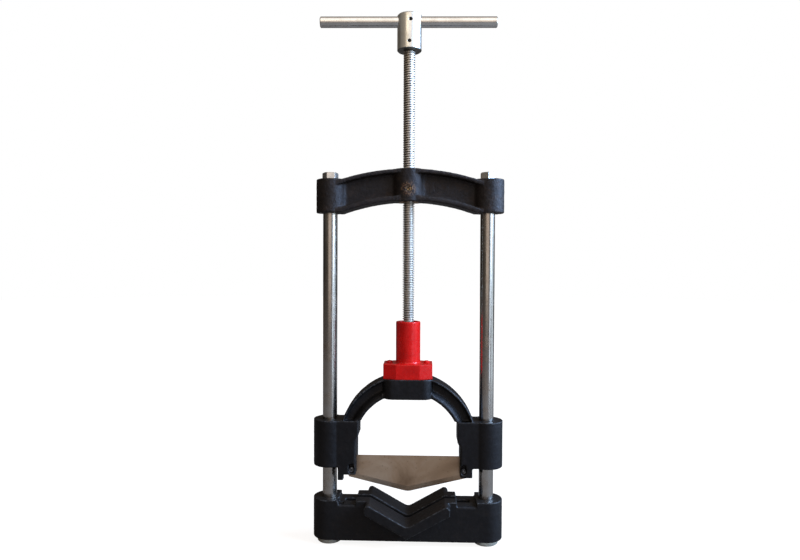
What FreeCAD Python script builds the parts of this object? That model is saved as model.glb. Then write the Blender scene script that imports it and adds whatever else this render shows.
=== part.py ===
import FreeCAD
import Part
import math
import os
import Sketcher

# Screw-driven guillotine cutter for plastic pipe.
# Frame: X across the two guide rods, Y along the pipe, +Z up the screw.
# Origin: centre of the footprint, on the plane the two foot discs stand on.
# All lengths are millimetres, angles are degrees.

os.makedirs("parts", exist_ok=True)
doc = FreeCAD.newDocument("PipeCutter")
sheet = doc.addObject("Spreadsheet::Sheet", "Dims")

DIMENSIONS = [
    # guide rods and feet
    ("rod_offset", 136.0),
    ("rod_dia", 25.0),
    ("rod_bottom", 21.0),
    ("rod_top", 605.0),
    ("rod_chamfer", 1.5),
    ("foot_dia", 42.0),
    ("foot_top", 9.0),
    ("foot_edge", 1.2),
    ("foot_hole_dia", 12.6),
    ("foot_sink_dia", 24.6),
    # base casting
    ("base_top", 77.5),
    ("base_boss_dia", 56.0),
    ("recess_floor", 71.0),
    ("recess_inner_left", 88.0),
    ("recess_inner_right", 84.5),
    ("recess_outer", 118.0),
    ("vee_tip", 72.0),
    ("vee_half_width", 64.0),
    ("vee_apex", 41.5),
    ("vee_depth", 102.0),
    ("vee_wall", 19.5),
    ("vee_root_radius", 12.0),
    ("anvil_corner_radius", 6.5),
    ("lug_room_inner", 109.0),
    ("lug_room_outer", 120.5),
    ("lug_room_floor", 66.8),
    ("blade_gap", 12.0),
    ("blade_gap_half_length", 108.0),
    ("blade_gap_floor", 30.0),
    # crossbeam
    ("beam_bottom", 570.0),
    ("beam_top", 628.0),
    ("beam_boss_dia", 52.0),
    ("beam_boss_shift", 2.0),
    ("beam_top_radius", 380.0),
    ("beam_top_centre", 264.4),
    ("beam_low_radius", 330.0),
    ("beam_low_centre", 260.2),
    ("beam_web", 18.0),
    ("beam_depth", 48.0),
    ("beam_top_rim", 7.0),
    ("beam_low_rim", 9.0),
    ("beam_mid_dia", 54.0),
    ("beam_mid_bottom", 589.0),
    ("beam_mid_top", 645.0),
    ("nut_dia", 34.0),
    ("lock_dia", 10.0),
    ("lock_height", 610.0),
    # hexagon bolts on the crossbeam
    ("bolt_flats", 24.0),
    ("bolt_head", 12.0),
    ("bolt_dia", 16.0),
    ("bolt_hole_dia", 17.0),
    ("bolt_end", 572.0),
    # yoke casting
    ("yoke_boss_dia", 56.0),
    ("yoke_bottom", 134.0),
    ("yoke_top", 213.5),
    ("slide_bore_dia", 25.1),
    ("arch_outer_radius", 119.4),
    ("arch_outer_centre", 173.7),
    ("arch_inner_radius", 91.0),
    ("arch_inner_centre", 170.5),
    ("arch_web", 26.0),
    ("arch_depth", 46.0),
    ("arch_inner_rim", 11.0),
    ("arch_outer_rim", 3.6),
    ("bead_radius", 5.0),
    ("channel_radius", 4.6),
    ("head_bottom", 252.0),
    ("head_top", 286.0),
    ("head_half_width", 42.5),
    ("head_half_depth", 30.0),
    ("head_corner_radius", 17.0),
    ("leg_depth", 48.0),
    ("left_inner_high", 84.5),
    ("left_inner_low", 88.5),
    ("right_inner_high", 85.5),
    ("right_inner_low", 90.0),
    ("leg_edge_radius", 3.0),
    ("leg_outer", 111.0),
    ("left_bottom", 121.0),
    ("right_bottom", 118.0),
    ("left_step_high", 188.0),
    ("left_step_low", 181.5),
    ("right_step_high", 177.0),
    ("right_step_low", 172.0),
    ("lug_outer", 119.5),
    ("lug_bottom", 111.5),
    ("lug_front", 24.0),
    ("lug_back", 12.0),
    # blade and its screws
    ("blade_thickness", 4.0),
    ("blade_half_length", 103.0),
    ("blade_top", 148.5),
    ("blade_apex", 86.3),
    ("blade_rise", 24.7),
    ("blade_apex_radius", 25.0),
    ("bevel_width", 9.0),
    ("bevel_depth", 1.7),
    ("clamp_offset", 96.0),
    ("clamp_height", 128.5),
    ("clamp_oval_rise", 7.5),
    ("clamp_oval_dia", 9.4),
    ("clamp_recess", 8.0),
    ("clamp_head_dia", 8.5),
    ("clamp_head", 5.0),
    ("clamp_dia", 5.0),
    ("clamp_end", 20.0),
    # coupling on the yoke's head
    ("flange_top", 311.5),
    ("flange_half_width", 42.0),
    ("flange_half_depth", 29.0),
    ("flange_front_half", 20.0),
    ("flange_side_half", 21.0),
    ("tube_dia", 42.4),
    ("tube_top", 383.5),
    ("tube_mouth_dia", 33.0),
    ("tube_mouth_depth", 18.0),
    ("tube_root_radius", 3.0),
    ("collar_bore_dia", 31.0),
    ("collar_bore_top", 306.0),
    ("journal_bore_dia", 20.1),
    ("flange_screw_offset", 32.0),
    ("flange_screw_dia", 6.0),
    ("flange_screw_head_dia", 11.0),
    ("flange_screw_head", 4.0),
    ("flange_screw_end", 268.0),
    ("thrust_dia", 30.0),
    ("thrust_top", 291.0),
    # screw, collar, hub and bar
    ("screw_dia", 20.0),
    ("screw_bottom", 291.05),
    ("screw_top", 885.0),
    ("screw_chamfer", 1.5),
    ("collar_dia", 30.0),
    ("collar_top", 305.5),
    ("collar_pin_dia", 5.0),
    ("collar_pin_height", 298.0),
    ("collar_pin_half", 14.5),
    ("hub_dia", 42.0),
    ("hub_bottom", 847.5),
    ("hub_top", 909.0),
    ("hub_chamfer", 1.5),
    ("bar_dia", 18.5),
    ("bar_height", 897.7),
    ("bar_length", 304.0),
    ("bar_shift", -1.5),
    ("bar_chamfer", 1.2),
    ("pin_low_dia", 6.2),
    ("pin_low_height", 859.5),
    ("pin_high_dia", 6.2),
    ("pin_high_shift", 2.0),
    ("pin_high_height", 896.0),
    ("pin_half", 20.4),
]

for row, (alias, value) in enumerate(DIMENSIONS, start=1):
    sheet.set("A%d" % row, alias)
    sheet.set("B%d" % row, str(value))
    sheet.setAlias("B%d" % row, alias)
doc.recompute()

VALUES = dict(DIMENSIONS)


class Size:
    """A number together with the spreadsheet expression it comes from."""

    def __init__(self, value, text):
        self.value = float(value)
        self.text = text

    def __add__(self, other):
        other = as_size(other)
        return Size(self.value + other.value, "(%s + %s)" % (self.text, other.text))

    def __sub__(self, other):
        other = as_size(other)
        return Size(self.value - other.value, "(%s - %s)" % (self.text, other.text))

    def __mul__(self, factor):
        factor = as_size(factor)
        return Size(self.value * factor.value, "(%s * %s)" % (self.text, factor.text))

    def __truediv__(self, factor):
        factor = as_size(factor)
        return Size(self.value / factor.value, "(%s / %s)" % (self.text, factor.text))

    def __neg__(self):
        return Size(-self.value, "(0 - %s)" % self.text)


def as_size(number):
    if isinstance(number, Size):
        return number
    return Size(number, "%.6f" % number if number >= 0 else "(0 - %.6f)" % -number)


def dim(alias):
    return Size(VALUES[alias], "Dims.%s" % alias)


def bind(obj, prop, size):
    size = as_size(size)
    setattr(obj, prop, size.value)
    obj.setExpression(prop, size.text)


# ---------------------------------------------------------------- sketches

HORIZONTAL_AXIS = -1
VERTICAL_AXIS = -2
SUBPARTS = []


def new_body(label):
    body = doc.addObject("PartDesign::Body", "Body_" + label)
    body.Label = label
    SUBPARTS.append(body)
    return body


def origin_plane(body, role):
    for feature in body.Origin.OriginFeatures:
        if feature.Role == role:
            return feature
    raise ValueError("no plane " + role)


def sketch_on(body, role, name, offset=None):
    sketch = body.newObject("Sketcher::SketchObject", name)
    sketch.AttachmentSupport = (origin_plane(body, role), [""])
    sketch.MapMode = "FlatFace"
    if offset is not None:
        offset = as_size(offset)
        base = FreeCAD.Vector(0, 0, offset.value)
        sketch.AttachmentOffset = FreeCAD.Placement(base, FreeCAD.Rotation())
        sketch.setExpression("AttachmentOffset.Base.z", offset.text)
    return sketch


def bind_constraint(sketch, constraint, size):
    index = sketch.addConstraint(constraint)
    sketch.setExpression("Constraints[%d]" % index, size.text)


def fix_point(sketch, geometry, point, place_x, place_y):
    """Hold one sketch point at sheet-driven coordinates."""
    place_x = as_size(place_x)
    place_y = as_size(place_y)
    if abs(place_x.value) < 1e-9:
        sketch.addConstraint(Sketcher.Constraint("PointOnObject", geometry, point, VERTICAL_AXIS))
    else:
        rule = Sketcher.Constraint("DistanceX", -1, 1, geometry, point, place_x.value)
        bind_constraint(sketch, rule, place_x)
    if abs(place_y.value) < 1e-9:
        sketch.addConstraint(Sketcher.Constraint("PointOnObject", geometry, point, HORIZONTAL_AXIS))
    else:
        rule = Sketcher.Constraint("DistanceY", -1, 1, geometry, point, place_y.value)
        bind_constraint(sketch, rule, place_y)


def vector(place_x, place_y):
    return FreeCAD.Vector(as_size(place_x).value, as_size(place_y).value, 0)


def polygon(sketch, points):
    count = len(points)
    lines = []
    for index in range(count):
        start = vector(*points[index])
        end = vector(*points[(index + 1) % count])
        lines.append(sketch.addGeometry(Part.LineSegment(start, end), False))
    for index in range(count):
        following = lines[(index + 1) % count]
        sketch.addConstraint(Sketcher.Constraint("Coincident", lines[index], 2, following, 1))
    for index in range(count):
        fix_point(sketch, lines[index], 1, *points[index])


def rectangle(sketch, low_x, high_x, low_y, high_y):
    polygon(sketch, [(low_x, low_y), (high_x, low_y), (high_x, high_y), (low_x, high_y)])


def circle(sketch, centre_x, centre_y, diameter):
    radius = as_size(diameter) / 2
    centre = vector(centre_x, centre_y)
    normal = FreeCAD.Vector(0, 0, 1)
    geometry = sketch.addGeometry(Part.Circle(centre, normal, radius.value), False)
    bind_constraint(sketch, Sketcher.Constraint("Radius", geometry, radius.value), radius)
    fix_point(sketch, geometry, 3, centre_x, centre_y)


def arc_between(sketch, centre_y, radius, from_x, to_x):
    """Upper arc about a centre on the vertical axis, counter-clockwise from from_x to to_x."""
    base = Part.Circle(vector(0, centre_y), FreeCAD.Vector(0, 0, 1), radius.value)
    start = math.acos(as_size(from_x).value / radius.value)
    end = math.acos(as_size(to_x).value / radius.value)
    arc = sketch.addGeometry(Part.ArcOfCircle(base, start, end), False)
    bind_constraint(sketch, Sketcher.Constraint("Radius", arc, radius.value), radius)
    fix_point(sketch, arc, 3, 0, centre_y)
    return arc


def band(sketch, half_x, outer_centre, outer_radius, inner_centre, inner_radius):
    """Closed strip between two arcs about the vertical axis, cut off square at +-half_x."""
    outer = arc_between(sketch, outer_centre, outer_radius, half_x, -half_x)
    inner = arc_between(sketch, inner_centre, inner_radius, half_x, -half_x)
    height_out = outer_centre.value + math.sqrt(outer_radius.value ** 2 - half_x.value ** 2)
    height_in = inner_centre.value + math.sqrt(inner_radius.value ** 2 - half_x.value ** 2)
    for sign, end in ((-1, 2), (1, 1)):
        start = FreeCAD.Vector(sign * half_x.value, height_out, 0)
        stop = FreeCAD.Vector(sign * half_x.value, height_in, 0)
        side = sketch.addGeometry(Part.LineSegment(start, stop), False)
        sketch.addConstraint(Sketcher.Constraint("Coincident", outer, end, side, 1))
        sketch.addConstraint(Sketcher.Constraint("Coincident", inner, end, side, 2))
        sketch.addConstraint(Sketcher.Constraint("Vertical", side))
        reach = half_x * sign
        rule = Sketcher.Constraint("DistanceX", -1, 1, side, 1, reach.value)
        bind_constraint(sketch, rule, reach)


def oval(sketch, centre_x, low_y, high_y, diameter):
    """Upright oval: two half circles joined by two straight sides."""
    radius = diameter / 2
    normal = FreeCAD.Vector(0, 0, 1)
    low = Part.Circle(vector(centre_x, low_y), normal, radius.value)
    high = Part.Circle(vector(centre_x, high_y), normal, radius.value)
    upper = sketch.addGeometry(Part.ArcOfCircle(high, 0, math.pi), False)
    lower = sketch.addGeometry(Part.ArcOfCircle(low, math.pi, 2 * math.pi), False)
    left = sketch.addGeometry(
        Part.LineSegment(vector(centre_x - radius, high_y), vector(centre_x - radius, low_y)), False)
    right = sketch.addGeometry(
        Part.LineSegment(vector(centre_x + radius, low_y), vector(centre_x + radius, high_y)), False)
    sketch.addConstraint(Sketcher.Constraint("Tangent", upper, 2, left, 1))
    sketch.addConstraint(Sketcher.Constraint("Tangent", left, 2, lower, 1))
    sketch.addConstraint(Sketcher.Constraint("Tangent", lower, 2, right, 1))
    sketch.addConstraint(Sketcher.Constraint("Tangent", right, 2, upper, 1))
    bind_constraint(sketch, Sketcher.Constraint("Radius", upper, radius.value), radius)
    fix_point(sketch, upper, 3, centre_x, high_y)
    fix_point(sketch, lower, 3, centre_x, low_y)


def rounded_rectangle(sketch, half_x, half_y, radius):
    """Rectangle about the origin with four equal round corners."""
    normal = FreeCAD.Vector(0, 0, 1)
    core_x = half_x - radius
    core_y = half_y - radius
    corners = []
    for quarter, (sign_x, sign_y) in enumerate(((1, 1), (-1, 1), (-1, -1), (1, -1))):
        base = Part.Circle(vector(core_x * sign_x, core_y * sign_y), normal, radius.value)
        start = quarter * math.pi / 2
        corners.append(sketch.addGeometry(Part.ArcOfCircle(base, start, start + math.pi / 2), False))
        bind_constraint(sketch, Sketcher.Constraint("Radius", corners[-1], radius.value), radius)
        fix_point(sketch, corners[-1], 3, core_x * sign_x, core_y * sign_y)
    ends = [(core_x, half_y), (-core_x, half_y), (-half_x, core_y), (-half_x, -core_y),
            (-core_x, -half_y), (core_x, -half_y), (half_x, -core_y), (half_x, core_y)]
    for quarter in range(4):
        start, stop = ends[2 * quarter], ends[2 * quarter + 1]
        side = sketch.addGeometry(Part.LineSegment(vector(*start), vector(*stop)), False)
        following = corners[(quarter + 1) % 4]
        sketch.addConstraint(Sketcher.Constraint("Tangent", corners[quarter], 2, side, 1))
        sketch.addConstraint(Sketcher.Constraint("Tangent", side, 2, following, 1))


# ---------------------------------------------------------------- features

def set_symmetric(feature, symmetric):
    if not symmetric:
        return
    if "SideType" in feature.PropertiesList:
        feature.SideType = "Symmetric"
    else:
        feature.Midplane = True


def pad(body, sketch, length, symmetric=False):
    before = solid_volume(body)
    feature = body.newObject("PartDesign::Pad", sketch.Name + "_Pad")
    feature.Profile = sketch
    bind(feature, "Length", length)
    set_symmetric(feature, symmetric)
    sketch.Visibility = False
    doc.recompute()
    if solid_volume(body) <= before:
        raise ValueError(feature.Name + " added nothing")
    return feature


def pocket(body, sketch, length=None, symmetric=False):
    """Cut downwards from the sketch, or both ways; with no length, through everything."""
    before = solid_volume(body)
    feature = body.newObject("PartDesign::Pocket", sketch.Name + "_Pocket")
    feature.Profile = sketch
    if length is None:
        feature.Type = "ThroughAll"
        symmetric = True
    else:
        bind(feature, "Length", length)
    set_symmetric(feature, symmetric)
    sketch.Visibility = False
    doc.recompute()
    if solid_volume(body) >= before:
        raise ValueError(feature.Name + " cut nothing")
    return feature


def revolve(body, sketch):
    feature = body.newObject("PartDesign::Revolution", sketch.Name + "_Revolution")
    feature.Profile = sketch
    feature.ReferenceAxis = (sketch, ["V_Axis"])
    feature.Angle = 360.0
    doc.recompute()
    return feature


def groove(body, sketch):
    before = solid_volume(body)
    feature = body.newObject("PartDesign::Groove", sketch.Name + "_Groove")
    feature.Profile = sketch
    feature.ReferenceAxis = (sketch, ["V_Axis"])
    feature.Angle = 360.0
    doc.recompute()
    if solid_volume(body) >= before:
        raise ValueError(feature.Name + " cut nothing")
    return feature


def solid_volume(body):
    if body.Shape.isNull():
        return 0.0
    return body.Shape.Volume


def edges_where(feature, wanted):
    names = []
    for index, edge in enumerate(feature.Shape.Edges, start=1):
        if wanted(edge):
            names.append("Edge%d" % index)
    if not names:
        raise ValueError("no edges on " + feature.Name)
    return names


def fillet(body, base, radius, wanted):
    feature = body.newObject("PartDesign::Fillet", base.Name + "_Fillet")
    feature.Base = (base, edges_where(base, wanted))
    bind(feature, "Radius", radius)
    doc.recompute()
    return feature


def chamfer(body, base, length, wanted):
    feature = body.newObject("PartDesign::Chamfer", base.Name + "_Chamfer")
    feature.Base = (base, edges_where(base, wanted))
    bind(feature, "Size", length)
    doc.recompute()
    return feature


def circle_at(radius, height=None, axis="z"):
    """Test for circular edges of one radius, at one height along their axis."""
    def wanted(edge):
        curve = edge.Curve
        if not isinstance(curve, Part.Circle) or abs(curve.Radius - radius) > 0.01:
            return False
        if height is None:
            return True
        return abs(getattr(curve.Center, axis) - height) < 0.01
    return wanted


def move(body, offset_x, turn=0.0):
    offset_x = as_size(offset_x)
    rotation = FreeCAD.Rotation(FreeCAD.Vector(0, 0, 1), turn)
    body.Placement = FreeCAD.Placement(FreeCAD.Vector(offset_x.value, 0, 0), rotation)
    body.setExpression("Placement.Base.x", offset_x.text)


def cylinder_pad(body, name, circles, bottom, top):
    """Pad upright cylinders, each given as (x, y, diameter)."""
    sketch = sketch_on(body, "XY_Plane", name, bottom)
    for centre_x, centre_y, diameter in circles:
        circle(sketch, centre_x, centre_y, diameter)
    return pad(body, sketch, top - bottom)


def cylinder_pocket(body, name, circles, bottom, top):
    """Cut upright holes, each given as (x, y, diameter), from top down to bottom."""
    sketch = sketch_on(body, "XY_Plane", name, top)
    for centre_x, centre_y, diameter in circles:
        circle(sketch, centre_x, centre_y, diameter)
    return pocket(body, sketch, top - bottom)


ROD = dim("rod_offset")
SCREW_TURN = 1.3  # degrees: the way the bar is left standing
SIDES = (("left", -ROD, -1.0), ("right", ROD, 1.0))


# ---------------------------------------------------------------- base casting

def make_base_casting():
    body = new_body("base_casting")
    bottom = dim("foot_top")
    top = dim("base_top")
    boss = dim("base_boss_dia")
    sketch = sketch_on(body, "XY_Plane", "BaseBeam", bottom)
    rectangle(sketch, -ROD, ROD, boss / -2, boss / 2)
    pad(body, sketch, top - bottom)
    cylinder_pad(body, "BaseBosses", [(-ROD, 0, boss), (ROD, 0, boss)], bottom, top)

    # the anvil: a block with a vee-shaped underside that stands proud front and back
    tip = dim("vee_tip")
    half = dim("vee_half_width")
    apex = dim("vee_apex")
    wall = dim("vee_wall")
    slope = (top - apex) / half
    side = apex - wall + slope * tip
    sketch = sketch_on(body, "XZ_Plane", "Anvil")
    polygon(sketch, [(-tip, top), (-tip, side), (0, apex - wall), (tip, side), (tip, top)])
    last = pad(body, sketch, dim("vee_depth"), symmetric=True)

    # its upper outer corners are rounded where they stand proud
    def anvil_corner(edge):
        box = edge.BoundBox
        return (box.XLength < 0.01 and box.ZLength < 0.01 and box.YLength > 5
                and abs(abs(box.Center.x) - tip.value) < 0.01
                and abs(box.Center.z - top.value) < 0.01)
    fillet(body, last, dim("anvil_corner_radius"), anvil_corner)

    # the vee that the pipe lies in
    sketch = sketch_on(body, "XZ_Plane", "Vee")
    over = top + 5
    polygon(sketch, [(-half, top), (0, apex), (half, top), (half, over), (-half, over)])
    cut = pocket(body, sketch)

    def vee_root(edge):
        box = edge.BoundBox
        return box.YLength > 90 and abs(box.Center.x) < 0.01 and abs(box.Center.z - apex.value) < 0.01
    fillet(body, cut, dim("vee_root_radius"), vee_root)

    # pads beside the anvil where the yoke's legs come down
    sketch = sketch_on(body, "XZ_Plane", "LegRecesses")
    floor = dim("recess_floor")
    outer = dim("recess_outer")
    rectangle(sketch, -outer, -dim("recess_inner_left"), floor, over)
    rectangle(sketch, dim("recess_inner_right"), outer, floor, over)
    cut = pocket(body, sketch)

    def recess_rim(edge):
        box = edge.BoundBox
        return (abs(box.ZLength) < 0.01 and abs(box.Center.z - floor.value) < 0.01
                and box.YLength < 0.01 and abs(box.Center.y) > 20)
    fillet(body, cut, 4.0, recess_rim)

    # the narrow slot that the blade drops into
    sketch = sketch_on(body, "XZ_Plane", "BladeGap")
    reach = dim("blade_gap_half_length")
    rectangle(sketch, -reach, reach, dim("blade_gap_floor"), over)
    pocket(body, sketch, dim("blade_gap"), symmetric=True)

    # room in the left recess for the lug on the yoke's left leg
    sketch = sketch_on(body, "XY_Plane", "LugRoom", over)
    rectangle(sketch, -dim("lug_room_outer"), -dim("lug_room_inner"),
              -dim("lug_front") - 1, -dim("lug_back") + 1)
    pocket(body, sketch, over - dim("lug_room_floor"))

    # blind seats for the rods, with a screw hole below each
    rod = dim("rod_dia")
    cylinder_pocket(body, "RodSeats", [(-ROD, 0, rod), (ROD, 0, rod)], dim("rod_bottom"), top)
    hole = dim("foot_hole_dia")
    cylinder_pocket(body, "FootHoles", [(-ROD, 0, hole), (ROD, 0, hole)], bottom, dim("rod_bottom"))


# ---------------------------------------------------------------- feet and rods

def make_foot(side, offset_x):
    body = new_body("foot_disc_" + side)
    radius = dim("foot_dia") / 2
    top = dim("foot_top")
    hole = dim("foot_hole_dia") / 2
    sink = dim("foot_sink_dia") / 2
    edge = dim("foot_edge")
    sketch = sketch_on(body, "XZ_Plane", "Foot" + side)
    polygon(sketch, [(sink, 0), (radius - edge, 0), (radius, edge), (radius, top - edge),
                     (radius - edge, top), (hole, top), (hole, sink - hole)])
    revolve(body, sketch)
    move(body, offset_x)


def make_foot_screw(side, offset_x):
    """Countersunk screw up through the disc and the base into the rod."""
    body = new_body("foot_screw_" + side)
    shank = dim("foot_hole_dia") / 2 - 0.3
    head = dim("foot_sink_dia") / 2 - 0.5
    sink = as_size(0.5)
    sketch = sketch_on(body, "XZ_Plane", "FootScrew" + side)
    polygon(sketch, [(3, sink), (head, sink), (shank, sink + head - shank),
                     (shank, dim("rod_bottom") + 20), (0, dim("rod_bottom") + 20), (0, 5), (3, 5)])
    revolve(body, sketch)
    move(body, offset_x)


def make_rod(side, offset_x):
    body = new_body("guide_rod_" + side)
    radius = dim("rod_dia") / 2
    bottom = dim("rod_bottom")
    top = dim("rod_top")
    edge = dim("rod_chamfer")
    lower_hole = dim("foot_hole_dia") / 2 - 0.3
    upper_hole = dim("bolt_dia") / 2
    lower_end = bottom + 20
    upper_end = dim("bolt_end")
    sketch = sketch_on(body, "XZ_Plane", "Rod" + side)
    polygon(sketch, [(lower_hole, bottom), (radius - edge, bottom), (radius, bottom + edge),
                     (radius, top - edge), (radius - edge, top), (upper_hole, top),
                     (upper_hole, upper_end), (0, upper_end), (0, lower_end), (lower_hole, lower_end)])
    revolve(body, sketch)
    move(body, offset_x)


# ---------------------------------------------------------------- crossbeam

def make_crossbeam():
    body = new_body("crossbeam")
    bottom = dim("beam_bottom")
    top = dim("beam_top")
    upper_r = dim("beam_top_radius")
    upper_c = dim("beam_top_centre")
    lower_r = dim("beam_low_radius")
    lower_c = dim("beam_low_centre")
    reach = ROD - 8
    shift = dim("beam_boss_shift")
    left = -ROD + shift
    right = ROD + shift

    sketch = sketch_on(body, "XZ_Plane", "BeamWeb")
    band(sketch, reach, upper_c, upper_r, lower_c, lower_r)
    pad(body, sketch, dim("beam_web"), symmetric=True)
    sketch = sketch_on(body, "XZ_Plane", "BeamTopRim")
    band(sketch, reach, upper_c, upper_r, upper_c, upper_r - dim("beam_top_rim"))
    pad(body, sketch, dim("beam_depth"), symmetric=True)
    sketch = sketch_on(body, "XZ_Plane", "BeamLowRim")
    band(sketch, reach, lower_c, lower_r + dim("beam_low_rim"), lower_c, lower_r)
    pad(body, sketch, dim("beam_depth"), symmetric=True)
    sketch = sketch_on(body, "XZ_Plane", "BeamUnderside")
    rectangle(sketch, -ROD, ROD, bottom - 30, bottom)
    pocket(body, sketch)

    boss = dim("beam_boss_dia")
    cylinder_pad(body, "BeamBosses", [(left, 0, boss), (right, 0, boss)], bottom, top)
    mid_low = dim("beam_mid_bottom")
    mid_top = dim("beam_mid_top")
    last = cylinder_pad(body, "BeamMiddle", [(0, 0, dim("beam_mid_dia"))], mid_low, mid_top)

    # cast fillets where the web meets the bosses
    web = dim("beam_web").value / 2

    def web_corner(edge):
        box = edge.BoundBox
        upright = box.XLength < 0.05 and box.YLength < 0.05 and box.ZLength > 20
        return upright and abs(abs(box.Center.y) - web) < 0.05
    fillet(body, last, 7.0, web_corner)

    rod = dim("rod_dia")
    rod_top = dim("rod_top")
    cylinder_pocket(body, "RodSockets", [(-ROD, 0, rod), (ROD, 0, rod)], bottom, rod_top)
    hole = dim("bolt_hole_dia")
    cylinder_pocket(body, "BoltHoles", [(-ROD, 0, hole), (ROD, 0, hole)], rod_top, top)
    cylinder_pocket(body, "NutSeat", [(0, 0, dim("nut_dia"))], mid_low, mid_top)

    # radial hole for the nut's lock screw, in the front of the middle boss
    sketch = sketch_on(body, "XZ_Plane", "LockHole", dim("beam_mid_dia") / 2)
    circle(sketch, 0, dim("lock_height"), dim("lock_dia"))
    pocket(body, sketch, dim("beam_mid_dia") / 2)


def make_nut_bush():
    body = new_body("nut_bush")
    outer = dim("nut_dia") / 2
    bore = dim("journal_bore_dia") / 2
    low = dim("beam_mid_bottom")
    high = dim("beam_mid_top")
    sketch = sketch_on(body, "XZ_Plane", "NutBush")
    polygon(sketch, [(bore + 1, low), (outer, low), (outer, high), (bore + 1, high),
                     (bore, high - 1), (bore, low + 1)])
    revolve(body, sketch)


def make_nut_lock_screw():
    """Grub screw, its socket facing the front."""
    body = new_body("nut_lock_screw")
    front = dim("beam_mid_dia") / 2 - 1.2
    back = dim("nut_dia") / 2
    sketch = sketch_on(body, "XZ_Plane", "LockScrew", front)
    circle(sketch, 0, dim("lock_height"), dim("lock_dia"))
    feature = body.newObject("PartDesign::Pad", "LockScrewPad")
    feature.Profile = sketch
    bind(feature, "Length", front - back - 0.3)
    feature.Reversed = True
    doc.recompute()
    sketch = sketch_on(body, "XZ_Plane", "LockSocket", front)
    hexagon(sketch, 0, dim("lock_height"), as_size(5))
    pocket(body, sketch, as_size(4))


def hexagon(sketch, centre_x, centre_y, flats):
    """Regular hexagon with two corners on the horizontal through its centre."""
    corner = flats / math.sqrt(3)
    points = []
    for step in range(6):
        angle = math.radians(60 * step)
        place_x = corner * math.cos(angle) + centre_x
        place_y = corner * math.sin(angle) + centre_y
        points.append((place_x, place_y))
    polygon(sketch, points)


def make_top_bolt(side, offset_x, turn):
    body = new_body("top_bolt_" + side)
    seat = dim("beam_top")
    high = seat + dim("bolt_head")
    flats = dim("bolt_flats")
    sketch = sketch_on(body, "XY_Plane", "BoltHead" + side, seat)
    hexagon(sketch, 0, 0, flats)
    pad(body, sketch, dim("bolt_head"))
    # the head's top corners are turned off at 30 degrees
    sketch = sketch_on(body, "XZ_Plane", "BoltCorners" + side)
    inner = flats * 0.47
    outer = flats * 0.65
    polygon(sketch, [(inner, high), (outer, high), (outer, high - (outer - inner) * 0.577)])
    groove(body, sketch)
    end = dim("bolt_end") + 5
    cylinder_pad(body, "BoltShank" + side, [(0, 0, dim("bolt_dia"))], end, seat)
    move(body, offset_x, turn)


# ---------------------------------------------------------------- yoke

def octagon(sketch, half_width, half_depth, front_half, side_half):
    """Elongated octagon: long front and back flats, short side flats, four slanted corners."""
    polygon(sketch, [(half_width, -side_half), (half_width, side_half),
                     (front_half, half_depth), (-front_half, half_depth),
                     (-half_width, side_half), (-half_width, -side_half),
                     (-front_half, -half_depth), (front_half, -half_depth)])


def leg_outline(side, sign):
    """Leg and web on one side, from the arch's foot down to the blade clamp."""
    top = dim("yoke_top")
    low = dim("yoke_bottom")
    end = dim(side + "_bottom")
    inner_high = dim(side + "_inner_high") * sign
    inner_low = dim(side + "_inner_low") * sign
    outer = dim("leg_outer") * sign
    return [(inner_high, top), (ROD * sign, top), (ROD * sign, low), (outer, low), (outer, end),
            (inner_low, end), (inner_low, dim(side + "_step_low")),
            (inner_high, dim(side + "_step_high"))]


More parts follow.
